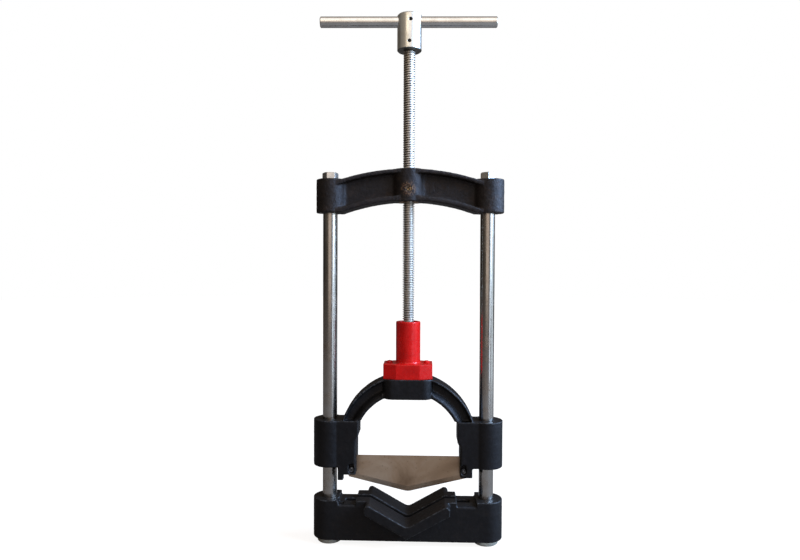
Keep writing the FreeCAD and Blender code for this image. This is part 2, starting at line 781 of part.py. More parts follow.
def make_yoke_casting():
    body = new_body("yoke_casting")
    top = dim("yoke_top")
    outer_r = dim("arch_outer_radius")
    outer_c = dim("arch_outer_centre")
    inner_r = dim("arch_inner_radius")
    inner_c = dim("arch_inner_centre")
    inner_rim = inner_r + dim("arch_inner_rim")
    outer_rim = outer_r - dim("arch_outer_rim")

    # the arch is a thin ring web between a round inner bead and a narrow outer rim
    sketch = sketch_on(body, "XZ_Plane", "ArchWeb")
    circle(sketch, 0, outer_c, outer_r * 2)
    circle(sketch, 0, inner_c, inner_r * 2)
    pad(body, sketch, dim("arch_web"), symmetric=True)
    sketch = sketch_on(body, "XZ_Plane", "ArchBead")
    circle(sketch, 0, inner_c, inner_rim * 2)
    circle(sketch, 0, inner_c, inner_r * 2)
    pad(body, sketch, dim("arch_depth"), symmetric=True)
    sketch = sketch_on(body, "XZ_Plane", "ArchRim")
    circle(sketch, 0, outer_c, outer_r * 2)
    circle(sketch, 0, outer_c, outer_rim * 2)
    last = pad(body, sketch, dim("arch_depth"), symmetric=True)
    half_depth = dim("arch_depth").value / 2

    def bead_edge(edge):
        curve = edge.Curve
        if not isinstance(curve, Part.Circle) or abs(abs(curve.Center.y) - half_depth) > 0.01:
            return False
        return min(abs(curve.Radius - inner_r.value), abs(curve.Radius - inner_rim.value)) < 0.01
    last = fillet(body, last, dim("bead_radius"), bead_edge)

    def rim_edge(edge):
        curve = edge.Curve
        if not isinstance(curve, Part.Circle) or abs(abs(curve.Center.y) - half_depth) > 0.01:
            return False
        return min(abs(curve.Radius - outer_r.value), abs(curve.Radius - outer_rim.value)) < 0.01
    last = fillet(body, last, 1.5, rim_edge)
    half_web = dim("arch_web").value / 2

    def channel_edge(edge):
        curve = edge.Curve
        if not isinstance(curve, Part.Circle) or abs(abs(curve.Center.y) - half_web) > 0.01:
            return False
        return min(abs(curve.Radius - inner_rim.value), abs(curve.Radius - outer_rim.value)) < 0.01
    fillet(body, last, dim("channel_radius"), channel_edge)

    # only the upper part of the ring is kept, and it ends flat under the coupling
    sketch = sketch_on(body, "XZ_Plane", "ArchTrim")
    wide = outer_r + 20
    rectangle(sketch, -wide, wide, outer_c - outer_r - 20, top)
    rectangle(sketch, -wide, wide, dim("head_top"), outer_c + outer_r + 20)
    pocket(body, sketch)

    # head under the coupling
    sketch = sketch_on(body, "XY_Plane", "Head", dim("head_bottom"))
    rounded_rectangle(sketch, dim("head_half_width"), dim("head_half_depth"),
                      dim("head_corner_radius"))
    pad(body, sketch, dim("head_top") - dim("head_bottom"))

    # legs and bosses
    sketch = sketch_on(body, "XZ_Plane", "Legs")
    polygon(sketch, leg_outline("left", -1))
    polygon(sketch, leg_outline("right", 1))
    last = pad(body, sketch, dim("leg_depth"), symmetric=True)
    leg_face = dim("leg_depth").value / 2

    def leg_edge(edge):
        box = edge.BoundBox
        flat = box.YLength < 0.01 and abs(abs(box.Center.y) - leg_face) < 0.01
        inner = abs(box.Center.x) < dim("right_inner_low").value + 0.01
        return flat and inner and box.XLength < 0.01 and box.ZLength > 40
    fillet(body, last, dim("leg_edge_radius"), leg_edge)
    boss = dim("yoke_boss_dia")
    low = dim("yoke_bottom")
    cylinder_pad(body, "YokeBosses", [(-ROD, 0, boss), (ROD, 0, boss)], low, top)

    # small lug below the outer corner of the left leg
    sketch = sketch_on(body, "XY_Plane", "Lug", dim("lug_bottom"))
    rectangle(sketch, -dim("lug_outer"), -dim("leg_outer") + 1, -dim("lug_front"), -dim("lug_back"))
    pad(body, sketch, low + 1 - dim("lug_bottom"))

    # sliding bores
    bore = dim("slide_bore_dia")
    cylinder_pocket(body, "SlideBores", [(-ROD, 0, bore), (ROD, 0, bore)], low, top)

    # blade slots in the legs, open inwards and downwards
    sketch = sketch_on(body, "XZ_Plane", "BladeSlots")
    inner = dim("left_inner_high") - 5
    outer = dim("blade_half_length") + 0.2
    slot_low = dim("right_bottom") - 10
    slot_top = dim("blade_top") + 0.2
    rectangle(sketch, -outer, -inner, slot_low, slot_top)
    rectangle(sketch, inner, outer, slot_low, slot_top)
    pocket(body, sketch, dim("blade_thickness") + 0.1, symmetric=True)

    # oval recesses and holes for the blade's clamp screws
    front = dim("leg_depth") / 2
    place = dim("clamp_offset")
    height = dim("clamp_height")
    sketch = sketch_on(body, "XZ_Plane", "ClampRecesses", front)
    oval(sketch, -place, height, height + dim("clamp_oval_rise"), dim("clamp_oval_dia"))
    oval(sketch, place, height, height + dim("clamp_oval_rise"), dim("clamp_oval_dia"))
    pocket(body, sketch, dim("clamp_recess"))
    sketch = sketch_on(body, "XZ_Plane", "ClampHoles", front)
    circle(sketch, -place, height, dim("clamp_dia"))
    circle(sketch, place, height, dim("clamp_dia"))
    pocket(body, sketch, front + dim("clamp_end"))

    # tapped holes for the coupling's screws
    spot = dim("flange_screw_offset")
    hole = dim("flange_screw_dia")
    cylinder_pocket(body, "HeadHoles", [(-spot, 0, hole), (spot, 0, hole)],
                    dim("flange_screw_end"), dim("head_top"))


def make_blade():
    body = new_body("blade")
    reach = dim("blade_half_length")
    top = dim("blade_top")
    apex = dim("blade_apex")
    end = apex + dim("blade_rise")
    sketch = sketch_on(body, "XZ_Plane", "BladePlate")
    polygon(sketch, [(-reach, end), (0, apex), (reach, end), (reach, top), (-reach, top)])
    last = pad(body, sketch, dim("blade_thickness"), symmetric=True)

    def apex_edge(edge):
        box = edge.BoundBox
        return box.YLength > 3 and abs(box.Center.x) < 0.01 and abs(box.Center.z - apex.value) < 0.01
    last = fillet(body, last, dim("blade_apex_radius"), apex_edge)

    # both faces are ground down towards the cutting edge
    def cutting_edge(edge):
        box = edge.BoundBox
        return box.YLength < 0.01 and box.ZMin < end.value - 0.1 and box.ZMax < end.value + 0.1
    feature = body.newObject("PartDesign::Chamfer", "BladeBevel")
    feature.Base = (last, edges_where(last, cutting_edge))
    feature.ChamferType = "Two distances"
    bind(feature, "Size", dim("bevel_depth"))
    bind(feature, "Size2", dim("bevel_width"))
    doc.recompute()

    place = dim("clamp_offset")
    sketch = sketch_on(body, "XZ_Plane", "BladeHoles")
    circle(sketch, -place, dim("clamp_height"), dim("clamp_dia") + 1.5)
    circle(sketch, place, dim("clamp_height"), dim("clamp_dia") + 1.5)
    pocket(body, sketch)


def make_blade_screw(side, sign):
    """Socket head screw through the leg and the blade, head towards the front."""
    body = new_body("blade_screw_" + side)
    face = dim("leg_depth") / 2 - dim("clamp_recess")
    front = face + dim("clamp_head")
    place = dim("clamp_offset") * sign
    height = dim("clamp_height")
    sketch = sketch_on(body, "XZ_Plane", "ClampHead" + side, face)
    circle(sketch, place, height, dim("clamp_head_dia"))
    last = pad(body, sketch, dim("clamp_head"))
    chamfer(body, last, 0.6, circle_at(dim("clamp_head_dia").value / 2, -front.value, "y"))
    sketch = sketch_on(body, "XZ_Plane", "ClampShank" + side, -dim("clamp_end") + 1)
    circle(sketch, place, height, dim("clamp_dia"))
    pad(body, sketch, face + dim("clamp_end") - 1)
    sketch = sketch_on(body, "XZ_Plane", "ClampSocket" + side, front)
    hexagon(sketch, place, height, as_size(4))
    pocket(body, sketch, as_size(2.8))


# ---------------------------------------------------------------- coupling

def make_coupling_housing():
    body = new_body("coupling_housing")
    low = dim("head_top")
    middle = dim("flange_top")
    high = dim("tube_top")
    sketch = sketch_on(body, "XY_Plane", "Flange", low)
    octagon(sketch, dim("flange_half_width"), dim("flange_half_depth"),
            dim("flange_front_half"), dim("flange_side_half"))
    pad(body, sketch, middle - low)
    tube = dim("tube_dia")
    last = cylinder_pad(body, "Tube", [(0, 0, tube)], middle, high)
    last = fillet(body, last, dim("tube_root_radius"), circle_at(tube.value / 2, middle.value))
    last = chamfer(body, last, 1.0, circle_at(tube.value / 2, high.value))
    cylinder_pocket(body, "CollarBore", [(0, 0, dim("collar_bore_dia"))], low, dim("collar_bore_top"))
    cylinder_pocket(body, "JournalBore", [(0, 0, dim("journal_bore_dia"))], low, high)
    mouth = high - dim("tube_mouth_depth")
    cylinder_pocket(body, "TubeMouth", [(0, 0, dim("tube_mouth_dia"))], mouth, high)
    spot = dim("flange_screw_offset")
    hole = dim("flange_screw_dia") + 0.4
    cylinder_pocket(body, "FlangeHoles", [(-spot, 0, hole), (spot, 0, hole)], low, middle)


def make_flange_screw(side, sign):
    """Low round-headed screw through the flange into the yoke's head."""
    body = new_body("flange_screw_" + side)
    seat = dim("flange_top")
    high = seat + dim("flange_screw_head")
    head = dim("flange_screw_head_dia") / 2
    shank = dim("flange_screw_dia") / 2
    end = dim("flange_screw_end") + 2
    sketch = sketch_on(body, "XZ_Plane", "FlangeScrew" + side)
    polygon(sketch, [(0, end), (shank, end), (shank, seat), (head, seat), (head, seat + 1.5),
                     (head - 1.5, high - 0.6), (head - 3, high), (1.8, high),
                     (1.8, high - 2), (0, high - 2)])
    revolve(body, sketch)
    move(body, dim("flange_screw_offset") * sign)


def make_thrust_washer():
    body = new_body("thrust_washer")
    outer = dim("thrust_dia") / 2
    sketch = sketch_on(body, "XZ_Plane", "ThrustWasher")
    polygon(sketch, [(4, dim("head_top")), (outer, dim("head_top")),
                     (outer, dim("thrust_top")), (4, dim("thrust_top"))])
    revolve(body, sketch)


# ---------------------------------------------------------------- turning parts

def make_lead_screw():
    """Screw at its major diameter; the 4 mm trapezoidal thread is not cut."""
    body = new_body("lead_screw")
    radius = dim("screw_dia") / 2
    low = dim("screw_bottom")
    high = dim("screw_top")
    edge = dim("screw_chamfer")
    sketch = sketch_on(body, "XZ_Plane", "Screw")
    polygon(sketch, [(0, low), (radius - edge, low), (radius, low + edge),
                     (radius, high - edge), (radius - edge, high), (0, high)])
    revolve(body, sketch)
    reach = dim("collar_dia")
    sketch = sketch_on(body, "YZ_Plane", "ScrewPinHole")
    circle(sketch, 0, dim("collar_pin_height"), dim("collar_pin_dia"))
    pocket(body, sketch, reach, symmetric=True)
    sketch = sketch_on(body, "XZ_Plane", "ScrewHubPinHole")
    circle(sketch, 0, dim("pin_low_height"), dim("pin_low_dia"))
    pocket(body, sketch, reach, symmetric=True)


def make_retaining_collar():
    body = new_body("retaining_collar")
    outer = dim("collar_dia") / 2
    inner = dim("screw_dia") / 2
    low = dim("screw_bottom")
    high = dim("collar_top")
    sketch = sketch_on(body, "XZ_Plane", "Collar")
    polygon(sketch, [(inner, low), (outer - 1, low), (outer, low + 1),
                     (outer, high - 1), (outer - 1, high), (inner, high)])
    revolve(body, sketch)
    sketch = sketch_on(body, "YZ_Plane", "CollarPinHole")
    circle(sketch, 0, dim("collar_pin_height"), dim("collar_pin_dia"))
    pocket(body, sketch, dim("collar_dia") + 2, symmetric=True)


def make_collar_pin():
    body = new_body("collar_pin")
    sketch = sketch_on(body, "YZ_Plane", "CollarPin")
    circle(sketch, 0, dim("collar_pin_height"), dim("collar_pin_dia"))
    pad(body, sketch, dim("collar_pin_half") * 2, symmetric=True)


def make_handle_hub():
    body = new_body("handle_hub")
    outer = dim("hub_dia") / 2
    bore = dim("screw_dia") / 2
    low = dim("hub_bottom")
    high = dim("hub_top")
    edge = dim("hub_chamfer")
    roof = dim("screw_top")
    sketch = sketch_on(body, "XZ_Plane", "Hub")
    polygon(sketch, [(bore, low), (outer - edge, low), (outer, low + edge), (outer, high - edge),
                     (outer - edge, high), (0, high), (0, roof), (bore, roof)])
    revolve(body, sketch)
    through = dim("hub_dia") + 4
    sketch = sketch_on(body, "YZ_Plane", "BarHole")
    circle(sketch, 0, dim("bar_height"), dim("bar_dia"))
    pocket(body, sketch, through, symmetric=True)
    sketch = sketch_on(body, "XZ_Plane", "HubPinHoles")
    circle(sketch, 0, dim("pin_low_height"), dim("pin_low_dia"))
    circle(sketch, dim("pin_high_shift"), dim("pin_high_height"), dim("pin_high_dia"))
    pocket(body, sketch, through, symmetric=True)


def make_tommy_bar():
    body = new_body("tommy_bar")
    length = dim("bar_length")
    diameter = dim("bar_dia")
    middle = dim("bar_shift")
    height = dim("bar_height")
    sketch = sketch_on(body, "YZ_Plane", "Bar", middle - length / 2)
    circle(sketch, 0, height, diameter)
    last = pad(body, sketch, length)

    def bar_end(edge):
        return isinstance(edge.Curve, Part.Circle)
    chamfer(body, last, dim("bar_chamfer"), bar_end)
    sketch = sketch_on(body, "XZ_Plane", "BarPinHole")
    circle(sketch, dim("pin_high_shift"), dim("pin_high_height"), dim("pin_high_dia"))
    pocket(body, sketch, diameter + 4, symmetric=True)


def make_hub_pin(label, place_x, height, diameter):
    body = new_body(label)
    sketch = sketch_on(body, "XZ_Plane", label + "_Profile")
    circle(sketch, place_x, height, diameter)
    last = pad(body, sketch, dim("pin_half") * 2, symmetric=True)
    reach = dim("pin_half").value

    def pin_end(edge):
        return isinstance(edge.Curve, Part.Circle) and abs(abs(edge.Curve.Center.y) - reach) < 0.01
    chamfer(body, last, 0.4, pin_end)


# ---------------------------------------------------------------- build

make_base_casting()
make_crossbeam()
make_nut_bush()
make_nut_lock_screw()
for side, offset, sign in SIDES:
    make_foot(side, offset)
    make_foot_screw(side, offset)
    make_rod(side, offset)
make_top_bolt("left", -ROD, 12.0)
make_top_bolt("right", ROD, 30.0)
make_yoke_casting()
make_blade()
make_coupling_housing()
make_thrust_washer()
for side, offset, sign in SIDES:
    make_blade_screw(side, sign)
    make_flange_screw(side, sign)
SCREW_START = len(SUBPARTS)
make_lead_screw()
make_retaining_collar()
make_collar_pin()
make_handle_hub()
make_tommy_bar()
make_hub_pin("hub_pin_lower", as_size(0), dim("pin_low_height"), dim("pin_low_dia"))
make_hub_pin("hub_pin_upper", dim("pin_high_shift"), dim("pin_high_height"), dim("pin_high_dia"))
for part in SUBPARTS[SCREW_START:]:
    move(part, 0, SCREW_TURN)

doc.recompute()

for item in doc.Objects:
    for state in item.State:
        if state in ("Invalid", "Error"):
            raise RuntimeError("%s is %s" % (item.Name, state))
for subpart in SUBPARTS:
    if subpart.Shape.isNull() or not subpart.Shape.isValid():
        raise RuntimeError("bad shape: " + subpart.Label)
    if len(subpart.Shape.Solids) != 1:
        raise RuntimeError("not one solid: " + subpart.Label)

for subpart in SUBPARTS:
    box = subpart.Shape.BoundBox
    print("%-18s volume %9.0f  x %7.1f..%6.1f  y %6.1f..%5.1f  z %6.1f..%6.1f" % (
        subpart.Label, subpart.Shape.Volume, box.XMin, box.XMax, box.YMin, box.YMax,
        box.ZMin, box.ZMax))
    subpart.Shape.exportStep("parts/%s.step" % subpart.Label)
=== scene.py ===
import math

import bmesh
import bpy
import numpy as np
from mathutils import Matrix, Vector, noise


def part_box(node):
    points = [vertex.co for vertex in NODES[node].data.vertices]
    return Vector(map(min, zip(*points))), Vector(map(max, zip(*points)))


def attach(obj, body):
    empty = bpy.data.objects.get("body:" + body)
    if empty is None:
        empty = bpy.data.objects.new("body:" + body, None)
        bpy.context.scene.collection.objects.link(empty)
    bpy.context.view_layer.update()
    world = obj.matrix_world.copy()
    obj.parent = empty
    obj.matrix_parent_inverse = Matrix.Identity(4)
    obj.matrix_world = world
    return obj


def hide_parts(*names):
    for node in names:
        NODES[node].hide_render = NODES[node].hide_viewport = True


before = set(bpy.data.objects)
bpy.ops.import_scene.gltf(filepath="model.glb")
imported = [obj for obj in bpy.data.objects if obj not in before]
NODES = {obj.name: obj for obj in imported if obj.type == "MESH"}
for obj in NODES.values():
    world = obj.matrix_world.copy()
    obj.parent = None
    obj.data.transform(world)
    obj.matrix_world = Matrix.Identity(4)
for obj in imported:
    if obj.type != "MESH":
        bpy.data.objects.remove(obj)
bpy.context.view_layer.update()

# Looks for the screw-driven pipe cutter. Metres, in the CAD frame:
# X across the guide rods, Y along the pipe (front is -Y), Z up the screw.

MM = 0.001
WHITE = (1.0, 1.0, 1.0)

# The Mix node has a set of sockets for each data type; these are the ones for colours.
MIX_SHARE, MIX_FIRST, MIX_SECOND, MIX_RESULT = 0, 6, 7, 2


# ---------------------------------------------------------------- node helpers

def feed(tree, node, socket, value):
    """Link an output to the node's socket, or set the socket to a plain value."""
    target = node.inputs[socket]
    if isinstance(value, bpy.types.NodeSocket):
        tree.links.new(value, target)
    elif isinstance(value, tuple) and target.type == "RGBA":
        target.default_value = (*value, 1.0)
    else:
        target.default_value = value


def ramp_node(tree, value, stops):
    """Colour ramp from (position, colour) stops; a plain number stands for a grey."""
    node = tree.nodes.new("ShaderNodeValToRGB")
    feed(tree, node, "Fac", value)
    points = node.color_ramp.elements
    while len(points) < len(stops):
        points.new(0.5)
    for point, (position, colour) in zip(points, stops):
        point.position = position
        if not isinstance(colour, tuple):
            colour = (colour, colour, colour)
        point.color = (*colour, 1.0)
    return node.outputs["Color"]


def mix_node(tree, share, first, second, mode="MIX"):
    node = tree.nodes.new("ShaderNodeMix")
    node.data_type = "RGBA"
    node.blend_type = mode
    feed(tree, node, MIX_SHARE, share)
    feed(tree, node, MIX_FIRST, first)
    feed(tree, node, MIX_SECOND, second)
    return node.outputs[MIX_RESULT]


class Shader:
    """One node material: each method adds a node and returns its output."""

    def __init__(self, name):
        self.material = bpy.data.materials.new(name)
        self.material.use_nodes = True
        self.tree = self.material.node_tree
        self.bsdf = self.tree.nodes["Principled BSDF"]
        self.place = self.tree.nodes.new("ShaderNodeTexCoord").outputs["Object"]

    def add(self, kind, output, **inputs):
        node = self.tree.nodes.new("ShaderNode" + kind)
        for socket, value in inputs.items():
            feed(self.tree, node, socket.replace("_", " "), value)
        return node.outputs[output]

    def set(self, **values):
        for socket, value in values.items():
            feed(self.tree, self.bsdf, socket.replace("_", " "), value)

    def stretched(self, scale):
        return self.add("Mapping", "Vector", Vector=self.place, Scale=scale)

    def noise(self, scale, detail=3.0, rough=0.55, where=None, distortion=0.0):
        return self.add("TexNoise", "Fac", Vector=where or self.place, Scale=scale,
                        Detail=detail, Roughness=rough, Distortion=distortion)

    def cells(self, scale):
        return self.add("TexVoronoi", "Distance", Vector=self.place, Scale=scale)

    def along(self, axis):
        return self.add("SeparateXYZ", axis, Vector=self.place)

    def ramp(self, value, stops):
        return ramp_node(self.tree, value, stops)

    def mix(self, share, first, second):
        return mix_node(self.tree, share, first, second)

    def math(self, operation, first, second=0.0):
        node = self.tree.nodes.new("ShaderNodeMath")
        node.operation = operation
        feed(self.tree, node, 0, first)
        feed(self.tree, node, 1, second)
        return node.outputs["Value"]

    def distance(self, point):
        node = self.tree.nodes.new("ShaderNodeVectorMath")
        node.operation = "DISTANCE"
        feed(self.tree, node, 0, self.place)
        feed(self.tree, node, 1, point)
        return node.outputs["Value"]

    def band(self, value, low, high):
        """0 below low, 1 above high, smooth between."""
        node = self.tree.nodes.new("ShaderNodeMapRange")
        node.interpolation_type = "SMOOTHSTEP"
        feed(self.tree, node, "Value", value)
        feed(self.tree, node, "From Min", low)
        feed(self.tree, node, "From Max", high)
        return node.outputs["Result"]

    def edges(self, low=0.51, high=0.56):
        """1 on outward edges of a dense mesh, 0 elsewhere."""
        return self.band(self.add("NewGeometry", "Pointiness"), low, high)

    def hollows(self, low=0.44, high=0.49):
        """1 in inward corners of a dense mesh, 0 elsewhere."""
        return self.math("SUBTRACT", 1.0, self.band(self.add("NewGeometry", "Pointiness"), low, high))

    def bump(self, height, strength, distance, after=None):
        """Bump on top of the normal `after`, or on the plain surface."""
        under = {} if after is None else {"Normal": after}
        return self.add("Bump", "Normal", Height=height, Strength=strength, Distance=distance, **under)

    def soft_edges(self, radius):
        node = self.tree.nodes.new("ShaderNodeBevel")
        node.samples = 4
        feed(self.tree, node, "Radius", radius)
        return node.outputs["Normal"]


# ---------------------------------------------------------------- materials

RUST_SOLID, RUST_GONE = 8 * MM, 16 * MM     # round the lock screw
SHADE_SOLID, SHADE_GONE = 0.8 * MM, 2.2 * MM    # painted shade above the lower rim of the handle's hub
FINE_BEVEL, WIDE_BEVEL, PLATED_BEVEL = 0.4 * MM, 0.8 * MM, 0.7 * MM


def darker(tone, share):
    return tuple(c * share for c in tone)


def black_casting(name, dark, light, dust, gloss, grain, edge_colour, rusty_at=None):
    """Black brushed enamel over cast iron; rusty_at is a point the bare metal shows round."""
    look = Shader(name)
    broad = look.noise(28.0, 4.0, 0.6)
    fine = look.noise(420.0, 3.0, 0.6)
    pits = look.noise(1300.0, 2.0, 0.5)
    colour = look.ramp(broad, [(0.3, dark), (0.72, light)])
    dusty = look.math("MULTIPLY", look.band(look.noise(75.0, 5.0, 0.7), 0.48, 0.72), 0.8)
    colour = look.mix(dusty, colour, dust)
    colour = look.mix(look.math("MULTIPLY", look.hollows(), 0.55), colour, dust)
    worn = look.math("MULTIPLY", look.edges(), look.band(look.noise(190.0, 4.0, 0.7), 0.42, 0.62))
    colour = look.mix(look.math("MULTIPLY", worn, 0.75), colour, edge_colour)
    if rusty_at is not None:
        near = look.band(look.distance(rusty_at), RUST_GONE, RUST_SOLID)
        specks = look.band(look.noise(260.0, 4.0, 0.7), 0.44, 0.56)
        bare = look.ramp(look.noise(520.0, 2.0, 0.6), [(0.40, (0.020, 0.009, 0.005)),
                                                 (0.58, (0.11, 0.055, 0.028)),
                                                 (0.72, (0.30, 0.20, 0.11))])
        colour = look.mix(look.math("MULTIPLY", near, specks), colour, bare)
    rough = look.ramp(look.noise(120.0, 4.0, 0.6), [(0.3, gloss[0]), (0.75, gloss[1])])
    rough = look.math("ADD", rough, look.math("MULTIPLY", dusty, 0.12))
    normal = look.bump(fine, grain, 0.0006)
    normal = look.bump(pits, grain * 0.7, 0.00025, normal)
    look.set(Base_Color=colour, Roughness=rough, Normal=normal)
    look.set(IOR=1.5, Specular_IOR_Level=0.23, Specular_Tint=(0.94, 0.92, 1.0))
    return look.material


def steel(name, tone, stain, gloss, axis="Z", edge=0.0, shaded_below=None, groove=None):
    """Machined bright steel with turning marks round the given axis and faint stains.

    shaded_below is a height that a painted dark rim of shade starts at; groove is the (inner, outer) radius
    of a thread whose roots get painted shade."""
    look = Shader(name)
    round_axis = {"Z": (60.0, 60.0, 6000.0), "X": (6000.0, 60.0, 60.0)}[axis]
    down_axis = {"Z": (90.0, 90.0, 9.0), "X": (9.0, 90.0, 90.0)}[axis]
    marks = look.noise(1.0, 2.0, 0.6, look.stretched(round_axis))
    streaks = look.noise(1.0, 4.0, 0.65, look.stretched(down_axis))
    patches = look.noise(40.0, 4.0, 0.6)
    colour = look.ramp(patches, [(0.32, stain), (0.6, tone)])
    colour = look.mix(look.math("MULTIPLY", look.band(streaks, 0.5, 0.75), 0.45), colour, darker(tone, 0.78))
    if groove is not None:
        # painted shade in the thread's roots, darker in patches
        square = [look.math("MULTIPLY", look.along(way), look.along(way)) for way in "XY"]
        radius = look.math("SQRT", look.math("ADD", *square))
        sunk = look.band(radius, groove[1], groove[0])
        groove_shade = look.math("ADD", 0.40, look.math("MULTIPLY", look.band(patches, 0.42, 0.6), 0.45))
        colour = look.mix(look.math("MULTIPLY", sunk, groove_shade), colour, (0.14, 0.115, 0.090))
    # painted shade: a dark band just above the height shaded_below
    if shaded_below is not None:
        rim_shade = look.band(look.along("Z"), shaded_below + SHADE_GONE, shaded_below + SHADE_SOLID)
        colour = look.mix(look.math("MULTIPLY", rim_shade, 0.85), colour, (0.10, 0.105, 0.09))
    rough = look.ramp(streaks, [(0.3, gloss[0]), (0.8, gloss[1])])
    rough = look.math("ADD", rough, look.math("MULTIPLY", look.band(patches, 0.55, 0.4), 0.08))
    normal = look.soft_edges(edge) if edge else None
    normal = look.bump(marks, 0.12, 0.00006, normal)
    look.set(Base_Color=colour, Metallic=1.0, Roughness=rough, Normal=normal)
    return look.material


def red_enamel(name):
    """Brushed gloss enamel, thinner on the edges and a little darker in the inward corners."""
    look = Shader(name)
    broad = look.noise(45.0, 4.0, 0.6)
    colour = look.ramp(broad, [(0.3, (0.40, 0.0030, 0.0026)), (0.7, (0.54, 0.0052, 0.0042))])
    # darker in the inward corners
    corner_darkening = look.math("MULTIPLY", look.hollows(), 0.6)
    colour = look.mix(corner_darkening, colour, (0.16, 0.006, 0.005))
    worn = look.math("MULTIPLY", look.edges(0.53, 0.6), look.band(look.noise(260.0, 4.0, 0.7), 0.5, 0.62))
    colour = look.mix(look.math("MULTIPLY", worn, 0.5), colour, (0.30, 0.06, 0.05))
    rough = look.ramp(look.noise(150.0, 3.0, 0.6), [(0.3, 0.24), (0.8, 0.36)])
    normal = look.bump(look.noise(240.0, 3.0, 0.5), 0.22, 0.0005)
    look.set(Base_Color=colour, Roughness=rough, Normal=normal)
    look.set(IOR=1.5, Specular_IOR_Level=0.24, Coat_Weight=0.08, Coat_Roughness=0.12)
    return look.material


def blade_steel(name):
    """Ground tool steel, heat-browned in soft clouds, with grinding lines along the blade."""
    look = Shader(name)
    clouds = look.noise(14.0, 5.0, 0.55, distortion=0.6)
    lines = look.noise(1.0, 3.0, 0.6, look.stretched((14.0, 900.0, 900.0)))
    colour = look.ramp(clouds, [(0.3, (0.31, 0.205, 0.130)),
                             (0.50, (0.52, 0.37, 0.25)),
                             (0.72, (0.68, 0.55, 0.42))])
    spots = look.band(look.noise(210.0, 3.0, 0.6), 0.62, 0.74)
    colour = look.mix(look.math("MULTIPLY", spots, 0.5), colour, (0.16, 0.10, 0.07))
    rough = look.ramp(lines, [(0.3, 0.34), (0.8, 0.46)])
    normal = look.bump(lines, 0.15, 0.00012, look.soft_edges(FINE_BEVEL))
    look.set(Base_Color=colour, Metallic=1.0, Roughness=rough, Normal=normal)
    return look.material


def zinc(name, tone, gloss):
    """Plated steel with a faint crystalline sparkle and handling marks."""
    look = Shader(name)
    flakes = look.cells(700.0)
    haze = look.noise(60.0, 4.0, 0.6)
    colour = look.mix(look.band(haze, 0.4, 0.65), tone, darker(tone, 0.72))
    rough = look.ramp(haze, [(0.3, gloss[0]), (0.75, gloss[1])])
    normal = look.bump(flakes, 0.08, 0.0001, look.soft_edges(PLATED_BEVEL))
    look.set(Base_Color=colour, Metallic=1.0, Roughness=rough, Normal=normal)
    return look.material


def dark_oxide(name, dark=(0.05, 0.05, 0.055), rubbed=(0.30, 0.31, 0.33)):
    """Blackened steel, rubbed brighter in patches."""
    look = Shader(name)
    colour = look.mix(look.band(look.noise(300.0, 3.0, 0.6), 0.45, 0.65), dark, rubbed)
    rough = look.ramp(look.noise(500.0, 3.0, 0.6), [(0.3, 0.28), (0.8, 0.5)])
    normal = look.bump(look.noise(900.0, 2.0, 0.5), 0.1, 0.0001, look.soft_edges(FINE_BEVEL))
    look.set(Base_Color=colour, Metallic=0.9, Roughness=rough, Normal=normal)
    return look.material


def bronze(name):
    """Turned bronze, browned in patches."""
    look = Shader(name)
    colour = look.ramp(look.noise(130.0, 4.0, 0.6), [(0.3, (0.16, 0.085, 0.035)), (0.7, (0.40, 0.24, 0.10))])
    rough = look.ramp(look.noise(300.0, 3.0, 0.6), [(0.3, 0.3), (0.8, 0.5)])
    marks = look.noise(1.0, 2.0, 0.6, look.stretched((80.0, 80.0, 5000.0)))
    normal = look.bump(marks, 0.12, 0.00008)
    look.set(Base_Color=colour, Metallic=1.0, Roughness=rough, Normal=normal)
    return look.material


def rusty_screw(name):
    """Lock screw left bare in the casting: bright metal going to rust."""
    look = Shader(name)
    rust = look.band(look.noise(430.0, 3.0, 0.6), 0.40, 0.50)
    colour = look.mix(rust, (0.34, 0.24, 0.13), (0.026, 0.012, 0.005))
    metal = look.math("SUBTRACT", 1.0, rust)
    rough = look.ramp(rust, [(0.0, 0.35), (1.0, 0.85)])
    normal = look.bump(look.noise(700.0, 4.0, 0.6), 0.5, 0.0003)
    look.set(Base_Color=colour, Metallic=metal, Roughness=rough, Normal=normal)
    return look.material


LOCK_LOW, LOCK_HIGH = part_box("nut_lock_screw")
LOCK_SCREW = (LOCK_LOW + LOCK_HIGH) / 2
LOCK_SCREW.y = LOCK_LOW.y
HUB_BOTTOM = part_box("handle_hub")[0].z
THREAD_GROOVE = (8.2 * MM, 9.6 * MM)

